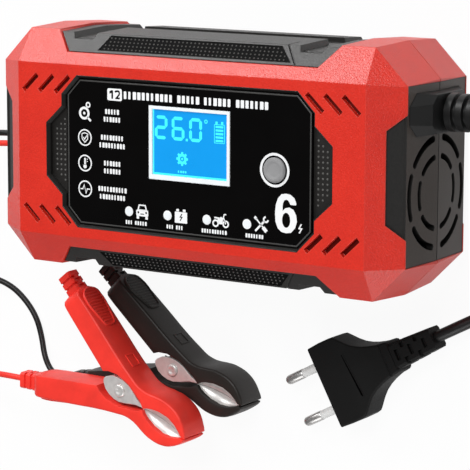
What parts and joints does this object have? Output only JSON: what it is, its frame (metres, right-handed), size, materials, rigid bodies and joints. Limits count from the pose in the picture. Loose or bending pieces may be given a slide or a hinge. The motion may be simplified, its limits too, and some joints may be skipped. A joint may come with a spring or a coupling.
{
  "type": "battery charger",
  "caption": "Car battery charger in a faceted red and black case, with a display panel, a mains plug lead and two spring clips.",
  "frame": {"origin": "middle of the case's flat back face, on the surface that the charger lies on", "axes": "+X along the case towards the fan end, +Y towards the top edge of the panel, +Z out of the panel"},
  "size_m": [0.3657, 0.1749, 0.0632],
  "materials": {
    "red_shell": "moulded, satin to fine grain",
    "black_plastic": "moulded, matt",
    "gloss_black": "glossy printed film",
    "white_plastic": "gloss",
    "screen_glass": "backlit display glass",
    "grey_button": "satin",
    "black_rubber": "satin, flexible",
    "red_rubber": "satin, flexible",
    "grey_plastic": "moulded, matt",
    "plated_steel": "nickel plated",
    "board_green": "solder resist",
    "aluminium": "extruded, plain",
    "copper": "enamelled copper wire",
    "clear_glass": "clear"
  },
  "bodies": {
    "charger": {"black_clip_lower_cover": "black_plastic", "black_clip_lower_jaw": "plated_steel", "black_clip_rivet": "plated_steel", "black_clip_spring": "plated_steel", "black_wire_coil": "black_rubber", "black_wire_in": "black_rubber", "black_wire_out": "black_rubber", "board_screws": "plated_steel", "bottom_trim_front": "black_plastic", "bottom_trim_rear": "black_plastic", "button_switch": "grey_plastic", "case_screws": "plated_steel", "display_board": "board_green", "fan_frame": "black_plastic", "fan_motor": "grey_plastic", "front_shell": "red_shell", "heat_sink": "aluminium", "lcd_bezel": "white_plastic", "lcd_module": "screen_glass", "left_cap_front": "black_plastic", "left_cap_rear": "black_plastic", "main_board": "board_green", "mains_capacitor": "grey_plastic", "mains_fuse": "clear_glass", "mains_lead_coil": "black_rubber", "mains_lead_in": "black_rubber", "mains_lead_out": "black_rubber", "mains_relief": "black_rubber", "output_capacitors": "grey_plastic", "output_choke": "grey_plastic", "output_relief": "black_rubber", "panel_frame": "black_plastic", "panel_label": "gloss_black", "pin_sleeves": "grey_plastic", "plug_body": "black_rubber", "plug_pins": "plated_steel", "power_transistors": "grey_plastic", "rear_shell": "red_shell", "red_clip_lower_cover": "red_rubber", "red_clip_lower_jaw": "plated_steel", "red_clip_rivet": "plated_steel", "red_clip_spring": "plated_steel", "red_wire_coil": "red_rubber", "red_wire_in": "red_rubber", "red_wire_out": "red_rubber", "right_cap_front": "black_plastic", "right_cap_rear": "black_plastic", "status_leds": "white_plastic", "top_trim_front": "black_plastic", "top_trim_rear": "black_plastic", "transformer_core": "grey_plastic", "transformer_winding": "copper"},
    "button": {"mode_button": "grey_button"},
    "fan": {"fan_rotor": "black_plastic", "fan_shaft": "plated_steel"},
    "red_clip_lever": {"red_clip_upper_cover": "red_rubber", "red_clip_upper_jaw": "plated_steel"},
    "black_clip_lever": {"black_clip_upper_cover": "black_plastic", "black_clip_upper_jaw": "plated_steel"}
  },
  "joints": [
    {"name": "mode_button_press", "type": "slide", "parent": "charger", "child": "button", "axis": [0, 0, -1], "range_m": [0, 0.001], "stiffness_N_per_m": 400},
    {"name": "fan_spin", "type": "hinge", "parent": "charger", "child": "fan", "pos_m": [0.0805, -0.0078, 0.0316], "axis": [1, 0, 0], "continuous": true},
    {"name": "red_clip_squeeze", "type": "hinge", "parent": "charger", "child": "red_clip_lever", "pos_m": [-0.0556, -0.1055, 0.0233], "axis": [0, 0, 1], "range_deg": [0, 20], "stiffness_Nm_per_rad": 0.5},
    {"name": "black_clip_squeeze", "type": "hinge", "parent": "charger", "child": "black_clip_lever", "pos_m": [-0.0394, -0.0976, 0.00775], "axis": [0, 0, 1], "range_deg": [0, 20], "stiffness_Nm_per_rad": 0.5}
  ]
}
